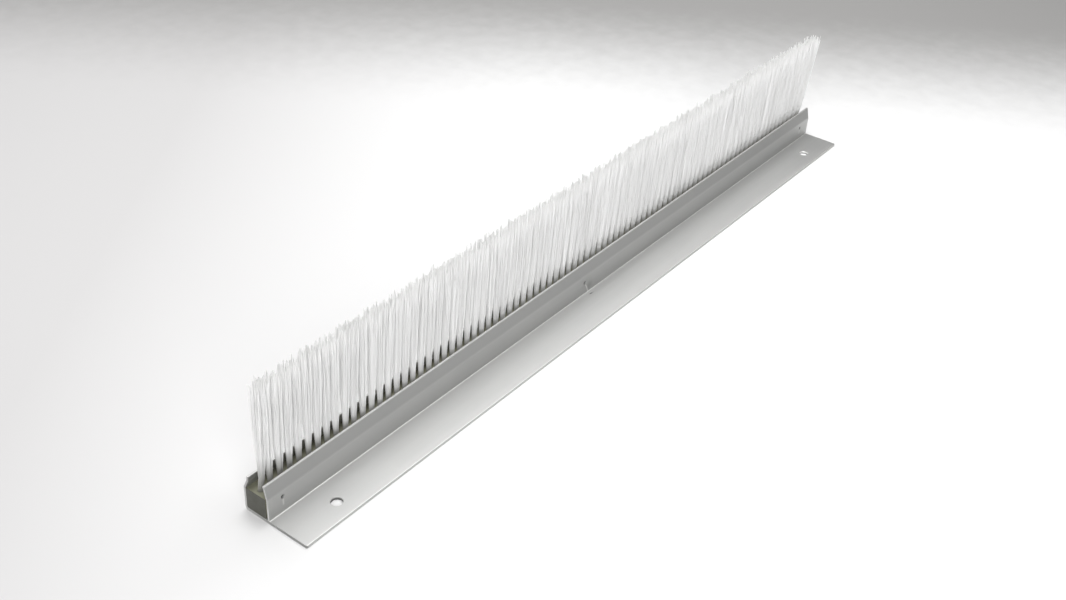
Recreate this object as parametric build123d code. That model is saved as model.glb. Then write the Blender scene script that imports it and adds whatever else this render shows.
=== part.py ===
from build123d import *
import os

# Brush seal strip: a row of nylon tufts set in a plastic bar, which an aluminium holder grips.
# Sizes are in millimetres. X runs along the strip, Y from the flange's free edge to the back wall,
# and Z up from the underside. The origin is the middle of the strip's footprint, on the underside.

# The holder's section, with Y counted here from the outer face of the front wall
strip_length = 457.2
flange_reach = 20.8
channel_depth = 13.75
plate_thickness = 1.5
wall_thickness = 1.0
wall_height = 18.7
bend_height = 12.1
knee_height = 16.7
front_lip_set = 1.7
back_lip_set = 2.1

# Rounding of the holder's corners
back_corner_radius = 1.6
channel_corner_radius = 0.5
wall_root_radius = 0.4
bend_radius = 0.8
lip_edge_radius = 0.2
flange_edge_radius = 0.3
flange_end_radius = 0.8

# The two fixing holes in the flange
hole_diameter = 5.2
hole_spacing = 406.4
hole_line = -12.0

# The punch marks that lock the bar: how far along the strip, and how high on the front wall
punch_places = [(-220.7, 9.3), (-12.9, 7.3), (218.4, 8.9)]
punch_mouth = 1.9
punch_tip = 0.3
punch_depth = 1.2
bump_root = 2.8
bump_tip = 1.0

# The nick beside the middle punch mark, where the tool slipped on the flange
nick_place = (-11.0, -2.3)
nick_mouth = (2.0, 0.9)
nick_floor = (1.3, 0.2)
nick_depth = 0.35

# The plastic bar
bar_width = 11.1
bar_top = 12.0
bar_lower_edge_radius = 0.9
bar_upper_edge_radius = 0.25

# The sockets in the bar and the tufts that fill them. Both are drawn with eight flat sides.
tuft_count = 86
tuft_pitch = 5.294
first_tuft_from_end = 2.85
socket_width = 2.4
socket_depth = 7.6
brush_top = 64.3
meeting_height = 32.0
meeting_depth = 4.2
tuft_top_depth = 7.8
gap_between_tufts = 0.1
octagon_cut = 1 - 0.5**0.5

# The flat wire in the fold of each tuft
anchor_thickness = 0.5
anchor_length = 3.2
anchor_height = 1.8
anchor_above_socket_floor = 1.2

# Places that follow from the sizes above
front_face = (flange_reach - channel_depth) / 2
bar_play = channel_depth - 2 * wall_thickness - bar_width
bar_back_face = front_face + channel_depth - wall_thickness
tuft_line = bar_back_face - bar_width / 2
socket_floor = bar_top - socket_depth
first_tuft = first_tuft_from_end - strip_length / 2
tuft_places = [first_tuft + number * tuft_pitch for number in range(tuft_count)]


def holder_section():
    """The extrusion's outline, one line for each corner: Y from the front wall, Z, and its radius."""
    back_tip = channel_depth - back_lip_set
    corners = [
        (-flange_reach, 0, flange_edge_radius),
        (channel_depth, 0, back_corner_radius),
        (channel_depth, bend_height, bend_radius),
        (back_tip, knee_height, bend_radius),
        (back_tip, wall_height, lip_edge_radius),
        (back_tip - wall_thickness, wall_height, lip_edge_radius),
        (back_tip - wall_thickness, knee_height, bend_radius),
        (channel_depth - wall_thickness, bend_height, bend_radius),
        (channel_depth - wall_thickness, plate_thickness, channel_corner_radius),
        (wall_thickness, plate_thickness, channel_corner_radius),
        (wall_thickness, bend_height, bend_radius),
        (front_lip_set + wall_thickness, wall_height, lip_edge_radius),
        (front_lip_set, wall_height, lip_edge_radius),
        (0, bend_height, bend_radius),
        (0, plate_thickness, wall_root_radius),
        (-flange_reach, plate_thickness, flange_edge_radius),
    ]
    outline = FilletPolyline(
        [(y, z) for y, z, radius in corners],
        radius=[radius for y, z, radius in corners],
        close=True,
    )
    return make_face(outline)


def footprint():
    """The strip seen from above, with its two flange corners rounded off."""
    free_edge = front_face - flange_reach
    back = front_face + channel_depth
    half = strip_length / 2
    outline = FilletPolyline(
        [(-half, free_edge), (half, free_edge), (half, back), (-half, back)],
        radius=[flange_end_radius, flange_end_radius, 0, 0],
        close=True,
    )
    return make_face(outline)


def eight_sided(width, depth, level):
    """The corner points of an eight-sided section whose cut corners all run at 45 degrees."""
    cut = octagon_cut * min(width, depth)
    x = width / 2
    y = depth / 2
    half = [(x, y - cut), (x - cut, y), (-x + cut, y), (-x, y - cut)]
    return [(across, along, level) for across, along in half + [(-across, -along) for across, along in half]]


def flat_sided(sections):
    """A solid skinned with flat faces over sections one above another, whose sides are parallel."""
    faces = [Face(Wire.make_polygon(section, close=True)) for section in (sections[0], sections[-1])]
    for lower, upper in zip(sections, sections[1:]):
        for corner in range(-1, len(lower) - 1):
            ring = [lower[corner], lower[corner + 1], upper[corner + 1], upper[corner]]
            faces.append(Face(Wire.make_polygon(ring, close=True)))
    return Solid(Shell(faces))


def on_front_wall(shape, depth):
    """Copies of a shape at the punch marks, pointing towards the bar from a depth into the front wall."""
    return [Plane((x, front_face + depth, z), z_dir=(0, 1, 0)) * shape for x, z in punch_places]


def make_holder():
    """The extruded holder, cut to length, drilled and punched."""
    section_plane = Plane((-strip_length / 2, front_face, 0), x_dir=(0, 1, 0), z_dir=(1, 0, 0))
    holder = extrude(section_plane * holder_section(), strip_length)
    holder = holder & extrude(footprint(), wall_height)
    bump = flat_sided([eight_sided(bump_root, bump_root, 0), eight_sided(bump_tip, bump_tip, bar_play)])
    pit_mouth = eight_sided(punch_mouth, punch_mouth, 0)
    pit = flat_sided([pit_mouth, eight_sided(punch_tip, punch_tip, punch_depth)])
    holder = holder + on_front_wall(bump, wall_thickness) - on_front_wall(pit, 0)
    nick = flat_sided([eight_sided(*nick_floor, -nick_depth), eight_sided(*nick_mouth, 0)])
    nick_along, nick_across = nick_place
    hole = Cylinder(hole_diameter / 2, 3 * plate_thickness)
    holes = [Pos(x, front_face + hole_line, 0) * hole for x in (-hole_spacing / 2, hole_spacing / 2)]
    return holder - Pos(nick_along, front_face + nick_across, plate_thickness) * nick - holes


def make_anchors():
    """The flat wires, standing on edge across the bar in the fold of each tuft."""
    wire = Box(
        anchor_thickness, anchor_length, anchor_height, align=(Align.CENTER, Align.CENTER, Align.MIN)
    )
    level = socket_floor + anchor_above_socket_floor
    return [Pos(x, tuft_line, level) * wire for x in tuft_places]


def make_bar(anchors):
    """The bar, with its row of drilled sockets and the notches that the ends of the anchors bite."""
    height = bar_top - plate_thickness
    bar = Pos(0, tuft_line, plate_thickness + height / 2) * Box(strip_length, bar_width, height)
    lower_edges = bar.edges().filter_by(Axis.X).group_by(Axis.Z)[0]
    bar = fillet(lower_edges, bar_lower_edge_radius)
    upper_edges = bar.edges().filter_by(Axis.X).group_by(Axis.Z)[-1]
    bar = fillet(upper_edges, bar_upper_edge_radius)
    mouth = make_face(Polyline(*eight_sided(socket_width, socket_width, socket_floor), close=True))
    socket = extrude(mouth, socket_depth)
    sockets = [Pos(x, tuft_line, 0) * socket for x in tuft_places]
    return bar - sockets - anchors


def make_tuft():
    """One tuft at X = 0: its fold in the socket, a spread up to where it meets its neighbours, the tips."""
    spread_width = tuft_pitch - gap_between_tufts
    tuft = flat_sided(
        [
            eight_sided(socket_width, socket_width, socket_floor),
            eight_sided(socket_width, socket_width, bar_top),
            eight_sided(spread_width, meeting_depth, meeting_height),
            eight_sided(spread_width, tuft_top_depth, brush_top),
        ]
    )
    return Pos(0, tuft_line, 0) * tuft


def write_node(name, solids):
    """One file for one node, which may hold several separate solids."""
    export_step(Compound(label=name, children=list(solids)), f"parts/{name}.step")


os.makedirs("parts", exist_ok=True)
anchors = make_anchors()
write_node("holder", make_holder().solids())
write_node("backing_bar", make_bar(anchors).solids())
write_node("anchor_wires", anchors)

# Tufts side by side share a node, two in each
tuft = make_tuft()
tufts = [Pos(x, 0, 0) * tuft - anchor for x, anchor in zip(tuft_places, anchors)]
for first in range(0, tuft_count, 2):
    pair = tufts[first : first + 2]
    write_node(f"tuft_pair_{first // 2 + 1:02d}", [solid for part in pair for solid in part.solids()])
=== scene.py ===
import bmesh
import bpy
import numpy as np
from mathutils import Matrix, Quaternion, Vector


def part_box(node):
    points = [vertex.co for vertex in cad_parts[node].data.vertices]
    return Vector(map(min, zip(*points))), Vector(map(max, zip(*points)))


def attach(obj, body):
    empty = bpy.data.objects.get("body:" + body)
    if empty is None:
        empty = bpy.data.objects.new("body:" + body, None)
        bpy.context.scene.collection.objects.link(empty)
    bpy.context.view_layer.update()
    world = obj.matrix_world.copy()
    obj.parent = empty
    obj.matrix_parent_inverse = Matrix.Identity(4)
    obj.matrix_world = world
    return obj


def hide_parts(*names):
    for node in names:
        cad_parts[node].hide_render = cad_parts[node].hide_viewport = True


# Brush seal strip: a row of nylon tufts set in a plastic bar, which an aluminium holder grips.
# X runs along the strip, Y from the flange's free edge to the back wall, and Z up from the underside.
# Sizes are in metres, written as millimetres times mm.
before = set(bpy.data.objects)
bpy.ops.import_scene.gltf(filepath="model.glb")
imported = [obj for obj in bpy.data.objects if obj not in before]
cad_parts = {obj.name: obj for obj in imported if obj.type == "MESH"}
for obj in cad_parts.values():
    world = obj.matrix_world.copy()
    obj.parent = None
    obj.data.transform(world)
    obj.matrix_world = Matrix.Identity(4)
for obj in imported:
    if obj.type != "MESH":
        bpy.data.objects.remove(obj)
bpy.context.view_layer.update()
mm = 0.001

# Holder
# One aluminium extrusion with a mill finish, sawn to length: a flat flange with two drilled holes, and a
# channel whose two thin walls lean inwards above the bar. Three punch marks in the front wall grip the bar.
holder_low, holder_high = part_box("holder")
half_length = holder_high.x
channel_depth = 13.75 * mm
wall_thickness = 1.0 * mm
plate_thickness = 1.5 * mm
front_face = holder_high.y - channel_depth
flange_reach = front_face - holder_low.y
wall_height = holder_high.z
bend_height = 12.1 * mm
knee_height = 16.7 * mm
front_lip = 1.7 * mm
back_lip = channel_depth - 2.1 * mm
inner_back = channel_depth - wall_thickness


def closed_outline(corners, runs):
    """A closed outline with rounded corners. A corner of radius r turns through the angle a on an arc that
    starts r * tan(a / 2) before it. Each run has points at its given fractions of the way to the next
    corner."""
    places = corners[:, :2]
    radii = corners[:, 2:3]
    incoming = places - np.roll(places, 1, axis=0)
    incoming /= np.linalg.norm(incoming, axis=1, keepdims=True)
    outgoing = np.roll(incoming, -1, axis=0)
    cross = incoming[:, 0] * outgoing[:, 1] - incoming[:, 1] * outgoing[:, 0]
    turn = np.arctan2(cross, (incoming * outgoing).sum(axis=1))
    arc_start = places - incoming * radii * np.tan(np.abs(turn) / 2)[:, None]
    left = np.stack([-incoming[:, 1], incoming[:, 0]], axis=1)
    centre = arc_start + left * radii * np.sign(turn)[:, None]
    angle = turn[:, None] * np.linspace(0, 1, 5)[None, :]
    arm = arc_start - centre
    arc_y = centre[:, :1] + arm[:, :1] * np.cos(angle) - arm[:, 1:] * np.sin(angle)
    arc_z = centre[:, 1:] + arm[:, :1] * np.sin(angle) + arm[:, 1:] * np.cos(angle)
    pieces = []
    for number, run in enumerate(runs):
        following = places[(number + 1) % len(places)]
        pieces.append(np.stack([arc_y[number], arc_z[number]], axis=1))
        pieces.append(places[number] + np.asarray(run)[:, None] * (following - places[number]))
    return np.concatenate(pieces)


def even(steps):
    """Fractions that part a run into equal steps, without its two ends."""
    return np.arange(1, steps) / steps


def grid_faces(rows, columns, first=0):
    """Four-cornered faces over rows of points whose last column joins its first again."""
    across = np.arange(columns)
    upper = first + np.arange(rows - 1)[:, None] * columns
    here = upper + across
    beside = upper + (across + 1) % columns
    return np.stack([here, beside, beside + columns, here + columns], axis=-1).reshape(-1, 4)


def window_loop(steps):
    """The points round a square that reaches from -1 to 1, a corner first, counted anticlockwise."""
    side = np.arange(steps) * 2 / steps - 1
    full = np.ones(steps)
    along = np.concatenate([side, full, -side, -full])
    across = np.concatenate([-full, side, full, -side])
    return np.stack([along, across], axis=1)


def drilled_hole(centre, half_window, steps, blend, radius, level):
    """Loops of points that lead from a square window in a flat face into a round hole. Each loop is the
    window's outline times (1 - blend) plus a circle of its radius times blend, at its own level."""
    square = window_loop(steps)
    circle = square / np.linalg.norm(square, axis=1, keepdims=True)
    blend, radius, level = (np.asarray(values, float)[:, None, None] for values in (blend, radius, level))
    flat = centre + (1 - blend) * square * half_window + blend * radius * circle
    return np.concatenate([flat, np.broadcast_to(level, flat.shape[:2] + (1,))], axis=2)


def hill(distance, width):
    """A smooth hill of height 1: e to the power of minus the square of distance over width."""
    return np.exp(-((distance / width) ** 2))


def new_piece(name, points, faces, material, shades={}, sharp_angle=40, seams=True):
    """A mesh object from an array of points and lists of faces, smooth apart from edges past an angle.
    Points that no face uses are left out. Shades are values at the points that its material reads. Where
    parts of the surface meet in seams, their points are merged."""
    corners = np.concatenate(faces)
    used = np.zeros(len(points), bool)
    used[corners] = True
    corners = (np.cumsum(used) - 1)[corners]
    breaks = np.cumsum([len(face) for face in faces])[:-1]
    faces = [face.tolist() for face in np.split(corners, breaks)]
    mesh = bpy.data.meshes.new(name)
    mesh.from_pydata(points[used].tolist(), [], faces)
    for shade, values in shades.items():
        mesh.attributes.new(shade, "FLOAT", "POINT").data.foreach_set("value", values[used])
    if seams:
        shape = bmesh.new()
        shape.from_mesh(mesh)
        bmesh.ops.remove_doubles(shape, verts=shape.verts, dist=0.001 * mm)
        shape.to_mesh(mesh)
        shape.free()
    mesh.shade_smooth()
    mesh.set_sharp_from_angle(angle=np.radians(sharp_angle))
    mesh.materials.append(material)
    piece = bpy.data.objects.new(name, mesh)
    bpy.context.scene.collection.objects.link(piece)
    return piece


def linear(hex_colour):
    """A colour written in sRGB hex, as the linear values that shaders take."""
    srgb = np.array([int(hex_colour[place : place + 2], 16) for place in (1, 3, 5)]) / 255
    return (*np.where(srgb > 0.04045, ((srgb + 0.055) / 1.055) ** 2.4, srgb / 12.92), 1)


def add(tree, kind, inputs={}, **settings):
    """Adds a shader node with its settings. An input given as a socket is linked, any other is a value."""
    node = tree.nodes.new(kind)
    for name, value in settings.items():
        setattr(node, name, value)
    for name, value in inputs.items():
        if isinstance(value, bpy.types.NodeSocket):
            tree.links.new(value, node.inputs[name])
        else:
            node.inputs[name].default_value = value
    return node


def noise(tree, vector, detail, size=1.0):
    """The value of a noise pattern along a vector, with features of about a size in metres. A stretched
    vector has its sizes already."""
    inputs = {"Vector": vector, "Scale": 1 / size, "Detail": detail}
    return add(tree, "ShaderNodeTexNoise", inputs).outputs["Fac"]


def stretched(tree, vector, sizes, turn=(0, 0, 0)):
    """A vector divided by sizes in metres along X, Y and Z, and then turned."""
    inputs = {"Vector": vector, "Rotation": turn, "Scale": [1 / size for size in sizes]}
    return add(tree, "ShaderNodeMapping", inputs).outputs[0]


def ranged(tree, value, start, end, low=0.0, high=1.0, **settings):
    """A low at the start of a value's range, a high at its end, and a value between them on the way."""
    inputs = {"Value": value, "From Min": start, "From Max": end, "To Min": low, "To Max": high}
    return add(tree, "ShaderNodeMapRange", inputs, **settings).outputs[0]


def calculated(tree, operation, *values):
    """The result of one of the Math node's operations on values."""
    return add(tree, "ShaderNodeMath", dict(enumerate(values)), operation=operation).outputs[0]


def mixed(tree, factor, first, second):
    """The colour at a factor of the way from a first to a second, each in hex or from another node."""
    first, second = [linear(colour) if isinstance(colour, str) else colour for colour in (first, second)]
    # These are the numbers of the node's two colour inputs and its colour output
    node = add(tree, "ShaderNodeMix", {"Factor": factor, 6: first, 7: second}, data_type="RGBA")
    return node.outputs[2]


def point_value(tree, name):
    """A value that the mesh holds at its points."""
    return add(tree, "ShaderNodeAttribute", attribute_name=name).outputs["Fac"]


def bumped(tree, height, strength, distance):
    """The surface's direction over a height that is drawn as a bump."""
    inputs = {"Height": height, "Strength": strength, "Distance": distance}
    return add(tree, "ShaderNodeBump", inputs).outputs[0]


def empty_material(name):
    """A material without a surface yet, its node tree, and the object's own coordinates."""
    material = bpy.data.materials.new(name)
    material.use_nodes = True
    tree = material.node_tree
    tree.nodes.clear()
    return material, tree, add(tree, "ShaderNodeTexCoord").outputs["Object"]


def set_surface(tree, inputs):
    """Ends a material's tree with a Principled surface."""
    shader = add(tree, "ShaderNodeBsdfPrincipled", inputs)
    add(tree, "ShaderNodeOutputMaterial", {"Surface": shader.outputs[0]})


def mill_finish_aluminium():
    """Extruded aluminium as it leaves the die, never polished: satin, neutral grey, with faint straight die
    lines along the strip, slow clouding from handling and a few short scratches."""
    material, tree, place = empty_material("aluminium_mill_finish")
    # Die lines are 0.1 mm wide on the real piece and drawn 0.9 mm wide so that they show
    lines = noise(tree, stretched(tree, place, (160 * mm, 0.9 * mm, 0.9 * mm)), 3.0)
    # Clouding from handling is about 25 mm across
    clouds = noise(tree, place, 3.0, 25 * mm)
    grain = noise(tree, place, 2.0, 1.1 * mm)
    # Scratches are about 6 mm long, and few, because only the noise's highest values make one
    scratch = noise(tree, stretched(tree, place, (6 * mm, 0.5 * mm, 5 * mm), turn=(0, 0, 0.5)), 1.0)
    scratch_line = ranged(tree, scratch, 0.70, 0.78)
    tone = mixed(tree, clouds, "#BCBDBC", "#C5C5C3")
    lined = mixed(tree, lines, tone, "#CDCDCC")
    # Painted highlights brighten the wall's root, the lips, the flange's edge, the creases and the holes'
    # upper walls, and painted shade darkens the punch marks, a patch beside the middle one, the nick, the
    # lips and the holes
    highlighted_colour = mixed(tree, point_value(tree, "painted_highlight"), lined, "#FAFAF8")
    shaded_colour = mixed(tree, point_value(tree, "painted_shade"), highlighted_colour, "#4A4A48")
    height = calculated(tree, "MULTIPLY_ADD", grain, 0.5, lines)
    scratched = calculated(tree, "SUBTRACT", height, scratch_line)
    inputs = {
        "Base Color": shaded_colour,
        "Metallic": 1.0,
        "Roughness": ranged(tree, lines, 0.3, 0.7, 0.56, 0.64),
        "Normal": bumped(tree, scratched, 0.6, 0.012 * mm),
    }
    set_surface(tree, inputs)
    return material


# The two fixing holes, each meshed in a square window of the flange
hole_places = (-203.2 * mm, 203.2 * mm)
hole_line = -12.0 * mm
hole_radius = 2.6 * mm
hole_edge = 0.12 * mm
hole_shade_level = 0.75 * mm
hole_window = 6.0 * mm
hole_window_steps = 12

# The punch marks: place along the strip, height, and depth of the dish that the blow left round each
punch_marks = [
    (-220.7 * mm, 9.3 * mm, 0.20 * mm),
    (-12.9 * mm, 7.3 * mm, 0.90 * mm),
    (218.4 * mm, 8.9 * mm, 0.20 * mm),
]
hard_blow = 0.3 * mm
pit_radius = 1.0 * mm
pit_depth = 1.1 * mm
rim_radius = 1.3 * mm
rim_height = 0.05 * mm
dish_radius = 3 * mm
bump_radius = 1.1 * mm
bump_height = 0.65 * mm
nick_place = (-11.0 * mm, -2.3 * mm)
nick_depth = 0.3 * mm

window_lines = hole_line + np.linspace(-hole_window, hole_window, hole_window_steps + 1)
edge_lines = -flange_reach + np.array([0.45, 0.65, 1.0, 1.8]) * mm
nick_lines = np.arange(-3.6, -0.7, 0.2) * mm
top_lines = np.concatenate([nick_lines[::-1], [-4.8 * mm], window_lines[::-1], edge_lines[::-1]])
under_lines = np.concatenate([edge_lines, window_lines, [-3 * mm, 1 * mm, 5 * mm, 9 * mm]])
holder_corners = np.array(
    [
        (-flange_reach, 0, 0.3 * mm),
        (channel_depth, 0, 1.6 * mm),
        (channel_depth, bend_height, 0.8 * mm),
        (back_lip, knee_height, 0.8 * mm),
        (back_lip, wall_height, 0.2 * mm),
        (back_lip - wall_thickness, wall_height, 0.2 * mm),
        (back_lip - wall_thickness, knee_height, 0.8 * mm),
        (inner_back, bend_height, 0.8 * mm),
        (inner_back, plate_thickness, 0.5 * mm),
        (wall_thickness, plate_thickness, 0.5 * mm),
        (wall_thickness, bend_height, 0.8 * mm),
        (front_lip + wall_thickness, wall_height, 0.2 * mm),
        (front_lip, wall_height, 0.2 * mm),
        (0, bend_height, 0.8 * mm),
        (0, plate_thickness, 0.4 * mm),
        (-flange_reach, plate_thickness, 0.3 * mm),
    ]
)
holder_runs = [even(2)] * 16
holder_runs[0] = (under_lines + flange_reach) / (channel_depth + flange_reach)
holder_runs[1] = even(6)
holder_runs[7] = even(6)
holder_runs[8] = even(6)
holder_runs[9] = even(36)
holder_runs[10] = even(12)
holder_runs[12] = even(12)
holder_runs[13] = even(48)
holder_runs[14] = -top_lines / flange_reach
holder_section = closed_outline(holder_corners, holder_runs)

# Stations along the strip, close together at the punch marks and the holes
end_zone = 1.0 * mm
coarse = np.arange(-226, 226.1, 4) * mm
near_holes = [np.abs(coarse - place) < hole_window + 0.3 * mm for place in hole_places]
coarse = coarse[~np.logical_or(*near_holes)]
fine = [place + np.arange(-2.4, 2.41, 0.2) * mm for place, height, dish in punch_marks]
medium = [place + np.arange(-12, 12.1, 1.5) * mm for place, height, dish in punch_marks[1:2]]
windows = [place + np.linspace(-hole_window, hole_window, hole_window_steps + 1) for place in hole_places]
end = half_length - np.array([1.0, 0.5, 0.0]) * mm
stations = np.unique(np.round(np.concatenate([coarse, *fine, *medium, *windows, -end, end]), 7))

# Where the flange's two corners are cut round, its ends are a little short
station_x, section_y = np.meshgrid(stations, holder_section[:, 0], indexing="ij")
section_z = np.broadcast_to(holder_section[:, 1], station_x.shape)
corner_radius = 0.8 * mm
into_corner = np.clip(corner_radius - (section_y + flange_reach), 0, corner_radius)
shortfall = corner_radius - np.sqrt(corner_radius**2 - into_corner**2)
into_end = np.clip((np.abs(station_x) - half_length + end_zone) / end_zone, 0, 1)
holder_x = station_x - np.sign(station_x) * into_end * shortfall

# The punch pushes a conical pit into the outer face, a bump out of the inner one, and dishes the wall
lean = np.clip(section_z - bend_height, 0, None) * front_lip / (wall_height - bend_height)
on_wall = (section_z > plate_thickness + 0.3 * mm) & (section_y < 5 * mm)
outer = on_wall & (section_y < lean + wall_thickness / 2)
root = np.clip((section_z - plate_thickness) / (5 * mm), 0, 1) ** 2
push = np.zeros_like(station_x)
painted_shade = np.zeros_like(station_x)
painted_highlight = np.zeros_like(station_x)
for place, height, dish in punch_marks:
    reach = np.hypot(station_x - place, section_z - height)
    pit = pit_depth * np.clip(1 - reach / pit_radius, 0, 1)
    # Painted shade darkens the pit
    painted_shade = np.maximum(painted_shade, np.where(on_wall & outer, np.clip(1.45 - reach / (0.85 * pit_radius), 0, 1), 0))
    # A painted highlight draws the bright crease from the pit's lower edge towards the wall's root,
    # slantwise after a hard blow and short after a light one
    slant = 0.35 * (height - section_z) * (dish > hard_blow)
    crease = hill(station_x - place - slant, 0.4 * mm)
    crease *= np.clip((height - section_z) / (0.9 * mm) - 0.8, 0, 1)
    if dish < hard_blow:
        crease *= np.clip((section_z - 4.5 * mm) / mm, 0, 1)
    painted_highlight = np.maximum(painted_highlight, np.where(on_wall & outer, (0.9 if dish > hard_blow else 0.5) * crease, 0))
    # Painted shade lies to the right of the hard blow, on the wall's lower half, beside its dish
    dish_shade = hill(station_x - place - 3.2 * mm, 1.8 * mm) * hill(section_z - 5 * mm, 2.2 * mm)
    painted_shade = np.maximum(painted_shade, np.where(on_wall & outer, 0.25 * dish_shade * (dish > hard_blow), 0))
    rim = rim_height * hill(reach - rim_radius, 0.35 * mm)
    bump = bump_height * np.exp(-((reach / bump_radius) ** 4))
    hollow = dish * hill(station_x - place, dish_radius) * hill(section_z - height, dish_radius) * root
    inner_push = np.minimum(np.maximum(hollow, bump), bump_height)
    push += np.where(outer, hollow + pit - rim, np.where(on_wall, inner_push, 0))
holder_y = front_face + section_y + push
nick_along, nick_across = nick_place
slant = (station_x - nick_along) + (section_y - nick_across)
nick = nick_depth * hill(slant, 1.0 * mm) * hill(section_y - nick_across, 0.35 * mm)
on_flange = (section_z > plate_thickness - 0.1 * mm) & (section_y < -0.5 * mm)
holder_z = section_z - np.where(on_flange, nick, 0)
# Painted shade darkens the nick
painted_shade = np.maximum(painted_shade, np.where(on_flange, nick / nick_depth, 0))

# Painted highlights: the wall's root, the tops of both lips and the flange's upper edge are painted bright,
# as glints
at_root = np.hypot(section_y, section_z - plate_thickness) < 0.38 * mm
on_lips = section_z > wall_height - 0.25 * mm
at_edge = (section_y < -flange_reach + 0.45 * mm) & (section_z > plate_thickness - 0.25 * mm)
painted_highlight = np.maximum(painted_highlight, np.where(at_root, 1.0, np.where(on_lips, 0.3, np.where(at_edge, 0.5, 0))))
# Painted shade: the lips are a little greyer than the walls below them
painted_shade = np.maximum(painted_shade, 0.22 * np.clip((section_z - bend_height) / (1 * mm), 0, 1) * ~on_lips)
holder_grid = np.stack([holder_x, holder_y, holder_z], axis=-1)

# The grid's faces leave out the windows, and the loops of the two holes close them again
rows, columns = station_x.shape
grid = grid_faces(rows, columns)
face_middle = holder_grid.reshape(-1, 3)[grid].mean(axis=1)
in_window = np.abs(face_middle[:, 1] - front_face - hole_line) < hole_window
in_hole = [np.abs(face_middle[:, 0] - place) < hole_window for place in hole_places]
grid = grid[~(in_window & np.logical_or(*in_hole))]
hole_wall = [plate_thickness - hole_edge, hole_shade_level, hole_edge]
hole_levels = np.array([plate_thickness] * 4 + hole_wall + [0] * 4)
hole_radii = hole_radius + hole_edge * np.array([1, 1, 1, 1, 0, 0, 0, 1, 1, 1, 1])
hole_blends = [0, 0.4, 0.75, 1, 1, 1, 1, 1, 0.75, 0.4, 0]
holder_points = [holder_grid.reshape(-1, 3)]
holder_painted_shade = [painted_shade.ravel()]
holder_painted_highlight = [painted_highlight.ravel()]
holder_faces = grid.tolist()
# Each hole's wall has a painted highlight near its top and painted shade along its lower edge, and the first
# hole's wall is painted in shade all the way up
hole_painted_shade = np.array([0, 0, 0, 0, 0.5, 0.8, 1, 1, 0, 0, 0])
hole_painted_highlight = np.array([0, 0, 0, 0, 1, 0.8, 0, 0, 0, 0, 0])
for place, shaded_wall in zip(hole_places, (1.0, 0.0)):
    centre = (place, front_face + hole_line)
    loops = drilled_hole(centre, hole_window, hole_window_steps, hole_blends, hole_radii, hole_levels)
    first = sum(len(points) for points in holder_points)
    holder_faces += grid_faces(*loops.shape[:2], first).tolist()
    holder_points.append(loops.reshape(-1, 3))
    loop_painted_shade = np.where(hole_painted_shade < 1, hole_painted_shade * shaded_wall, 1)
    holder_painted_shade.append(np.repeat(loop_painted_shade, loops.shape[1]))
    holder_painted_highlight.append(np.repeat(hole_painted_highlight, loops.shape[1]))
holder_faces.append(list(range(columns))[::-1])
holder_faces.append(list(range((rows - 1) * columns, rows * columns)))
aluminium = mill_finish_aluminium()
# The holder's two point values are its painted shade and its painted highlights
holder_shades = {"painted_shade": np.concatenate(holder_painted_shade), "painted_highlight": np.concatenate(holder_painted_highlight)}
holder = new_piece("extruded_holder", np.concatenate(holder_points), holder_faces, aluminium, holder_shades)
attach(holder, "root")
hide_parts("holder")

# Backing bar
# A solid bar of grey-green PVC that fills the channel, extruded with rounded lower edges and sawn to
# length. One row of blind holes is drilled into its top, and each holds a tuft.
bar_low, bar_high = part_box("backing_bar")
anchor_low, anchor_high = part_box("anchor_wires")
anchor_thickness = 0.5 * mm
tuft_count = 86
tuft_line = (anchor_low.y + anchor_high.y) / 2
first_tuft = anchor_low.x + anchor_thickness / 2
tuft_pitch = (anchor_high.x - anchor_low.x - anchor_thickness) / (tuft_count - 1)
tuft_places = first_tuft + tuft_pitch * np.arange(tuft_count)
socket_radius = 1.2 * mm
socket_depth = 7.6 * mm
drill_point = 0.6 * mm
socket_edge = 0.1 * mm
socket_steps = 6


def grey_green_pvc():
    """Extruded rigid PVC, a little chalky: olive grey, matt, with drag lines along the bar and fine saw
    marks that show best on the two cut ends."""
    material, tree, place = empty_material("pvc_grey_green")
    # Drag lines from the die are drawn 0.5 mm wide
    drag = noise(tree, stretched(tree, place, (30 * mm, 0.5 * mm, 0.5 * mm)), 2.0)
    mottle = noise(tree, place, 4.0, 3.5 * mm)
    # Saw marks run slantwise over the cut end, 0.4 mm apart
    saw = noise(tree, stretched(tree, place, (1.0, 6 * mm, 0.4 * mm), turn=(0.35, 0, 0)), 1.0)
    tone = mixed(tree, mottle, "#6E6F60", "#8A8975")
    # The two sawn ends are painted darker than the drawn faces, as shade
    along = add(tree, "ShaderNodeSeparateXYZ", {"Vector": place}).outputs["X"]
    from_middle = calculated(tree, "ABSOLUTE", along)
    shaded_end = ranged(tree, from_middle, half_length - 0.15 * mm, half_length - 0.02 * mm)
    height = calculated(tree, "ADD", drag, saw)
    inputs = {
        "Base Color": mixed(tree, shaded_end, tone, "#4A4A42"),
        "Roughness": ranged(tree, mottle, 0.3, 0.7, 0.48, 0.62),
        "IOR": 1.53,
        "Normal": bumped(tree, height, 0.5, 0.03 * mm),
    }
    set_surface(tree, inputs)
    return material


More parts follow.
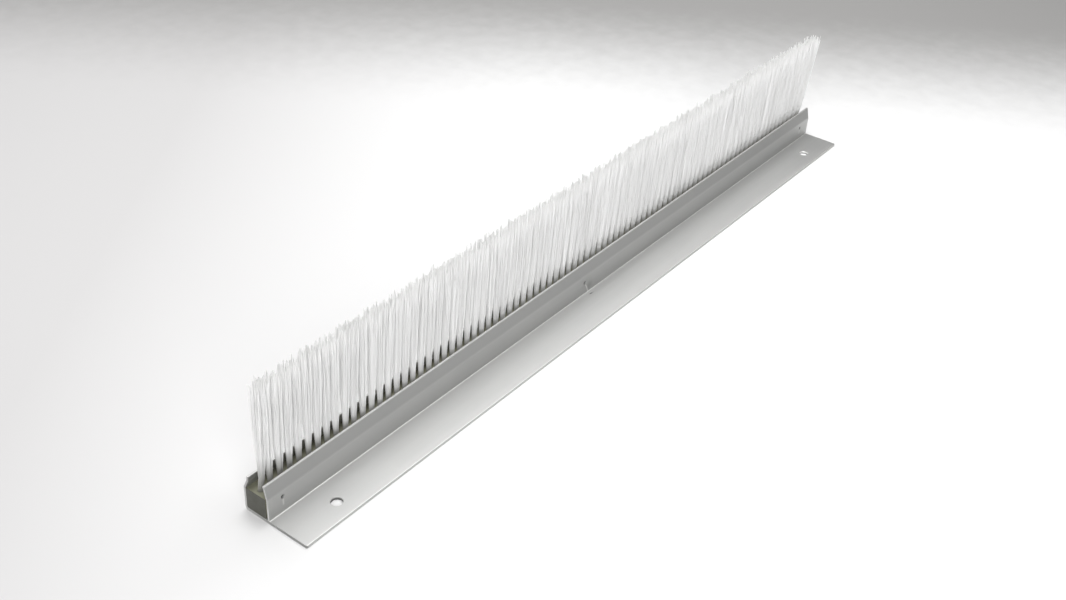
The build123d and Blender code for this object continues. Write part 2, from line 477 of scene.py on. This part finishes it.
# The section's top run is parted into the sockets' steps between the two edges of their windows
socket_window = tuft_pitch / 2
bar_middle = (bar_low.y + bar_high.y) / 2
bar_half_width = (bar_high.y - bar_low.y) / 2
bar_corners = np.array(
    [
        (-bar_half_width, bar_low.z, 0.9 * mm),
        (bar_half_width, bar_low.z, 0.9 * mm),
        (bar_half_width, bar_high.z, 0.25 * mm),
        (-bar_half_width, bar_high.z, 0.25 * mm),
    ]
)
across_window = np.linspace(socket_window, -socket_window, socket_steps + 1)
bar_runs = [even(4), even(4), (bar_half_width - across_window) / (2 * bar_half_width), even(4)]
bar_section = closed_outline(bar_corners, bar_runs)
row_steps = np.arange(tuft_count * socket_steps + 1)
row_stations = first_tuft - socket_window + tuft_pitch / socket_steps * row_steps
bar_stations = np.concatenate([[bar_low.x], row_stations, [bar_high.x]])
bar_grid = np.empty((len(bar_stations), len(bar_section), 3))
bar_grid[..., 0] = bar_stations[:, None]
bar_grid[..., 1] = bar_middle + bar_section[:, 0]
bar_grid[..., 2] = bar_section[:, 1]
rows, columns = bar_grid.shape[:2]
grid = grid_faces(rows, columns)
face_middle = bar_grid.reshape(-1, 3)[grid].mean(axis=1)
on_top = face_middle[:, 2] > bar_high.z - 0.01 * mm
in_row = np.abs(face_middle[:, 1] - bar_middle) < socket_window
between_ends = (face_middle[:, 0] > row_stations[0]) & (face_middle[:, 0] < row_stations[-1])
grid = grid[~(on_top & in_row & between_ends)]
socket_depths = np.array([0, 0, 0, socket_edge, 3 * mm, socket_depth, socket_depth + drill_point])
socket_levels = bar_high.z - socket_depths
socket_radii = socket_radius + socket_edge * np.array([1, 1, 1, 0, 0, 0, 0])
# The drill's point leaves only a tiny flat at the bottom
socket_radii[-1] = 0.02 * mm
socket_blends = [0, 0.55, 1, 1, 1, 1, 1]
bar_points = [bar_grid.reshape(-1, 3)]
bar_faces = grid.tolist()
for number, place in enumerate(tuft_places):
    centre = (place, tuft_line)
    loops = drilled_hole(centre, socket_window, socket_steps, socket_blends, socket_radii, socket_levels)
    depths, around = loops.shape[:2]
    first = rows * columns + number * depths * around
    last = first + (depths - 1) * around
    bar_faces += grid_faces(depths, around, first).tolist()
    bar_faces.append(list(range(last, last + around)))
    bar_points.append(loops.reshape(-1, 3))
bar_faces.append(list(range(columns))[::-1])
bar_faces.append(list(range((rows - 1) * columns, rows * columns)))
pvc = grey_green_pvc()
bar = new_piece("drilled_bar", np.concatenate(bar_points), bar_faces, pvc)
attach(bar, "root")
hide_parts("backing_bar")


# Anchor wires
# A short flat steel wire stands in the fold of each tuft and bites into the socket's wall. The packed
# pieces have the right shape and stay, with a drawn-steel finish.
def drawn_steel():
    """Flat-rolled steel wire, bright but not polished: darker than the holder, with fine lines across."""
    material, tree, place = empty_material("steel_flat_wire")
    lines = noise(tree, stretched(tree, place, (0.2 * mm, 3 * mm, 0.2 * mm)), 2.0)
    inputs = {
        "Base Color": mixed(tree, lines, "#A9A8A4", "#C9C8C4"),
        "Metallic": 1.0,
        "Roughness": 0.38,
        "Normal": bumped(tree, lines, 0.3, 0.01 * mm),
    }
    set_surface(tree, inputs)
    return material


steel = drawn_steel()
for slot in bpy.data.objects["anchor_wires"].material_slots:
    slot.material = steel

# Tufts
# Bundles of white nylon filament, each folded in half under its anchor wire, with a leg on either side of
# it. The legs fan out until they meet the next tuft's, and the tips are trimmed but a little ragged.
brush_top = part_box("tuft_pair_01")[1].z
filament_radius = 0.10 * mm
filaments_per_tuft = 48
filament_sides = 4
clumps_per_leg = 16
under_anchor = 5.4 * mm
over_anchor = 7.6 * mm
fold_depth = 0.75 * mm
tuft_base_radius = 1.0 * mm
leg_centre = tuft_pitch / 4
leg_radius = 1.15 * mm
top_half_depth = 3.3 * mm
cut_edge = 0.16 * mm
# Between these heights over the trim stand all the tips
lowest_tip = -3.0 * mm
highest_tip = 1.6 * mm
fork_level = 26 * mm
fork_reach = 12 * mm
legs_apart = 0.06 * mm
beside_wire = 0.34 * mm
# How much the legs, clumps and filaments of a tuft differ from each other
leg_trim = 0.6 * mm
clump_trim = 0.95 * mm
filament_trim = 0.4 * mm
tip_scatter = 0.10 * mm
bow_size = 0.08 * mm
gathering = 0.6

# Levels of the rings along a leg, as far as they are the same for every filament
leg_levels = np.array([under_anchor, over_anchor, bar_high.z, 18 * mm, 25 * mm, 34 * mm, 48 * mm])
# How far each level has got from the tuft's base to its full spread, along the strip and across it
spread_along = np.array([0.0, 0.0, 0.0, 0.05, 0.36, 0.80, 0.97, 1.0, 1.0])
spread_across = np.array([0.0, 0.0, 0.0, 0.08, 0.20, 0.40, 0.70, 1.0, 1.0])
# How far each level has got into gathering its clumps, whose tips stand close together
gather_so_far = np.array([0.0, 0.0, 0.0, 0.0, 0.0, 0.0, 0.1, 1.0, 1.0])
# How far each level has got into the lean of the whole tuft, which begins low down
lean_so_far = np.array([0.0, 0.0, 0.0, 0.55, 0.68, 0.78, 0.90, 1.0, 1.0])

# How each tuft differs from the next
chance = np.random.default_rng(457)
tuft_lean = chance.normal(0, 0.18 * mm, tuft_count)
tuft_sway = chance.normal(0, 0.20 * mm, tuft_count)
tuft_fork = np.abs(chance.normal(0, 0.12 * mm, tuft_count))
leg_shift = chance.normal(0, 0.14 * mm, (tuft_count, 2, 2))
tuft_lean[0] = 2.0 * mm
# The ninth and tenth part towards their tips, and the last four splay outwards over the end
tuft_lean[8:10] = np.array([-0.5, 0.5]) * mm
tuft_lean[-4:] = np.array([0.8, 1.8, 3.4, 5.6]) * mm
tuft_sway[-4:] = np.array([-0.1, -0.3, -0.7, -1.4]) * mm


def sunflower(count):
    """Points spread evenly over a unit disc: the n-th lies at the square root of n / count from the middle,
    turned by n golden angles."""
    order = np.arange(count)
    reach = np.sqrt((order + 0.5) / count)
    angle = np.pi * (3 - 5**0.5) * order
    return np.stack([reach * np.cos(angle), reach * np.sin(angle)], axis=1)


def folded_filaments(centre, lean, sway, fork, shifts, chance):
    """The paths of one tuft's filaments. Each runs down one leg, under the anchor and up the other. A leg's
    place at a level is its base place plus its spread to the tip's place, and a slight bow. Neighbours in
    a leg keep together in clumps. Each leg, clump and filament is trimmed at a height of its own."""
    count = filaments_per_tuft
    disc = sunflower(2 * count)
    half_disc = disc[np.argsort(-disc[:, 0])][:count]
    legs = []
    for number, side in enumerate((-1, 1)):
        shuffled = half_disc[chance.permutation(count)]
        base = shuffled * np.array([side, 1]) * tuft_base_radius
        base[:, 0] += side * legs_apart
        # At the tips the half disc has widened to a round leg of its own
        kept = np.stack([shuffled[:, 0] * 2 - 0.9, shuffled[:, 1]], axis=1)
        clumps = 0.85 * sunflower(clumps_per_leg) + chance.normal(0, 0.12, (clumps_per_leg, 2))
        nearest = np.linalg.norm(kept[:, None] - clumps[None], axis=2).argmin(axis=1)
        leg_size = np.array([side * leg_radius, top_half_depth])
        gather = gathering * (clumps[nearest] - kept) * leg_size
        tip = kept * leg_size
        tip[:, 0] += side * leg_centre
        tip[:, 1] += sway
        tip += shifts[number] * np.array([1.0, 0.6]) + chance.normal(0, tip_scatter, (count, 2))
        clump_top = chance.normal(-0.3 * mm, leg_trim) + chance.normal(0, clump_trim, clumps_per_leg)
        top = clump_top[nearest] + chance.normal(0, filament_trim, count)
        top = brush_top + np.clip(top, lowest_tip, highest_tip)[:, None]
        lower = np.broadcast_to(leg_levels, (count, len(leg_levels)))
        levels = np.concatenate([lower, top - cut_edge, top], axis=1)
        along = base[:, :1] + (tip[:, :1] - base[:, :1]) * spread_along + lean * lean_so_far
        across = base[:, 1:] + (tip[:, 1:] - base[:, 1:]) * spread_across
        along += gather[:, :1] * gather_so_far
        across += gather[:, 1:] * gather_so_far
        height = np.clip((levels - bar_high.z) / (brush_top - bar_high.z), 0, 1)
        bow = chance.normal(0, bow_size, (2, count, 1)) * np.sin(np.pi * height)
        opened = side * fork * hill(levels - fork_level, fork_reach) * (levels > bar_high.z + 1 * mm)
        # Beside the anchor a leg is pressed flatter, and starts clear of the wire's face
        along[:, :2] = side * (beside_wire + 0.68 * np.abs(base[:, :1]))
        across[:, :2] *= 0.9
        legs.append(np.stack([along + bow[0] + opened, across + bow[1], levels], axis=-1))
    # The filaments that lie further out in the leg pass deeper under the anchor
    depth = fold_depth * np.abs(legs[0][:, 0, 0]) / tuft_base_radius - chance.uniform(0, 0.1 * mm, count)
    fold = np.stack([np.zeros(count), legs[0][:, 0, 1] * 0.9, under_anchor - np.maximum(depth, 0)], axis=-1)
    paths = np.concatenate([legs[0][:, ::-1], fold[:, None], legs[1]], axis=1)
    paths[..., 0] += centre
    paths[..., 1] += tuft_line
    return paths


def tubes(paths, radii, turn):
    """Closed tubes round paths: at each point a ring of corners stands square to the path, at cos and sin
    of evenly stepped angles from the path's own two side directions."""
    forward = np.gradient(paths, axis=1)
    forward /= np.linalg.norm(forward, axis=-1, keepdims=True)
    side = np.cross(forward, np.array([0.0, 1.0, 0.0]))
    side /= np.linalg.norm(side, axis=-1, keepdims=True)
    other = np.cross(forward, side)
    angle = turn[:, None, None, None] + 2 * np.pi / filament_sides * np.arange(filament_sides)[:, None]
    ring = np.cos(angle) * side[:, :, None] + np.sin(angle) * other[:, :, None]
    return (paths[:, :, None] + ring * radii[:, None, None]).reshape(-1, 3)


def tube_faces(count, rings, sides):
    """Faces of a number of like tubes one after another, with a face over each of their two ends."""
    one = grid_faces(rings, sides)
    starts = np.arange(count)[:, None, None] * rings * sides
    bottom = np.arange(sides)
    caps = np.stack([bottom[::-1], (rings - 1) * sides + bottom])
    return np.concatenate([(one + starts).reshape(-1, sides), (caps + starts).reshape(-1, sides)])


def white_nylon():
    """Drawn nylon filament, milky and a little glossy: off-white, each filament slightly lighter or
    darker than its neighbours, with painted shade that greys it down in the bar and at the cut tips."""
    material, tree, place = empty_material("nylon_filament")
    streak = noise(tree, stretched(tree, place, (0.9 * mm, 0.9 * mm, 30 * mm)), 2.0)
    shade = point_value(tree, "tone")
    tone = ranged(tree, calculated(tree, "ADD", streak, shade), 0.5, 1.5)
    clean = mixed(tree, tone, "#FAFAF9", "#FEFEFE")
    # Painted shade is darkest in the bar. It reaches 5 mm over it, and 19 mm at the near end
    at = add(tree, "ShaderNodeSeparateXYZ", {"Vector": place}).outputs
    shade_spread = ranged(tree, at["X"], -half_length, -160 * mm, 0.30, 1.0)
    over_bar = calculated(tree, "SUBTRACT", at["Z"], 11 * mm)
    shade_height = calculated(tree, "MULTIPLY", over_bar, shade_spread)
    base_shaded = mixed(tree, ranged(tree, shade_height, 0.0, 6 * mm, 0.95, 0.0), clean, "#66665C")
    # Painted shade makes the cut tips a little greyer than the drawn length, more on some filaments than
    # others
    tip_shade = ranged(tree, at["Z"], 59 * mm, 65 * mm, 0.0, 0.7)
    inputs = {
        "Base Color": mixed(tree, calculated(tree, "MULTIPLY", tip_shade, shade), base_shaded, "#DCDCDA"),
        "Roughness": 0.36,
        "IOR": 1.53,
        "Subsurface Weight": 0.25,
        "Subsurface Radius": (1, 1, 1),
        "Subsurface Scale": 0.5 * mm,
    }
    set_surface(tree, inputs)
    return material


nylon = white_nylon()
rings = 2 * len(spread_along) + 1
ring_radii = np.full(rings, filament_radius)
# The cut tips are a little rounded
ring_radii[[0, -1]] *= 0.6
pair_faces = tube_faces(2 * filaments_per_tuft, rings, filament_sides).tolist()
for pair in range(tuft_count // 2):
    tuft_paths = [
        folded_filaments(tuft_places[k], tuft_lean[k], tuft_sway[k], tuft_fork[k], leg_shift[k], chance)
        for k in (2 * pair, 2 * pair + 1)
    ]
    paths = np.concatenate(tuft_paths)
    points = tubes(paths, ring_radii, chance.uniform(0, 2 * np.pi, len(paths)))
    tone = np.repeat(chance.uniform(0, 1, len(paths)), rings * filament_sides)
    name = f"filaments_{pair + 1:02d}"
    tuft = new_piece(name, points, pair_faces, nylon, {"tone": tone}, sharp_angle=80, seams=False)
    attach(tuft, "root")
    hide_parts(f"tuft_pair_{pair + 1:02d}")

# Floor
# A plain sheet of pale matt paper that the strip stands on, 6 m wide so that its edges are far off. It
# belongs to the picture only, and nothing is fixed to it.
floor_half = 3.0


def pale_floor():
    """Matt paper: nearly white in front of the strip, with painted shade: a little greyer beside its near
    end, and grey where the sheet falls into the shade far behind it."""
    material, tree, place = empty_material("floor_matt_paper")
    fibres = noise(tree, place, 3.0, 12 * mm)
    # How far behind is counted along a direction 35 degrees round from the strip, and beside is square to it
    behind, beside = [
        add(tree, "ShaderNodeVectorMath", {0: place, 1: way}, operation="DOT_PRODUCT").outputs["Value"]
        for way in ((0.816, 0.578, 0), (-0.578, 0.816, 0))
    ]
    uneven = calculated(tree, "MULTIPLY_ADD", fibres, 35 * mm, behind)
    shade = ranged(tree, uneven, 200 * mm, 420 * mm, interpolation_type="SMOOTHSTEP")
    # Painted shade: the paper greys beside the strip's near end
    near_colour = mixed(tree, ranged(tree, beside, 50 * mm, 260 * mm), "#EAEAEA", "#CBCACA")
    set_surface(tree, {"Base Color": mixed(tree, shade, near_colour, "#9C9B9A"), "Roughness": 0.9})
    return material


floor_points = np.array([(-1, -1, 0), (1, -1, 0), (1, 1, 0), (-1, 1, 0)]) * floor_half
floor = new_piece("floor", floor_points, [(0, 1, 2, 3)], pale_floor())

# Light
# One large soft lamp in front on the left, a smaller one above, and a little even light from all round.
world = bpy.data.worlds.new("even_light")
world.use_nodes = True
world.node_tree.nodes.clear()
sky = add(world.node_tree, "ShaderNodeBackground", {"Color": (1, 1, 1, 1), "Strength": 0.02})
add(world.node_tree, "ShaderNodeOutputWorld", {"Surface": sky.outputs[0]})
bpy.context.scene.world = world


def soft_lamp(name, place, aim, size, power):
    """A square lamp at a place, turned to an aim."""
    lamp = bpy.data.lights.new(name, "AREA")
    lamp.size = size
    lamp.energy = power
    lamp_object = bpy.data.objects.new(name, lamp)
    lamp_object.location = place
    lamp_object.rotation_euler = (Vector(aim) - Vector(place)).to_track_quat("-Z", "Y").to_euler()
    bpy.context.scene.collection.objects.link(lamp_object)


soft_lamp("overhead", (0.12, 0.11, 1.1), (0, 0, 0), 1.0, 16)
soft_lamp("front", (-2.0, -1.6, 1.55), (0, 0, 0), 2.4, 75)

# Camera
# It stands before the near end, to the left and above, and is tipped slightly to the right.
camera_place = (-470.7 * mm, -288.3 * mm, 366.9 * mm)
camera_gaze = Vector((0.67316, 0.47642, -0.56557))
camera_roll = 3.71
camera = bpy.data.objects.new("camera", bpy.data.cameras.new("camera"))
camera.data.lens = 43.42
camera.data.sensor_width = 36
camera.data.clip_start = 0.01
camera.location = camera_place
camera.rotation_mode = "QUATERNION"
roll_turn = Quaternion((0, 0, 1), np.radians(camera_roll))
camera.rotation_quaternion = camera_gaze.to_track_quat("-Z", "Y") @ roll_turn
bpy.context.scene.collection.objects.link(camera)
bpy.context.scene.camera = camera
bpy.context.scene.view_settings.view_transform = "Standard"
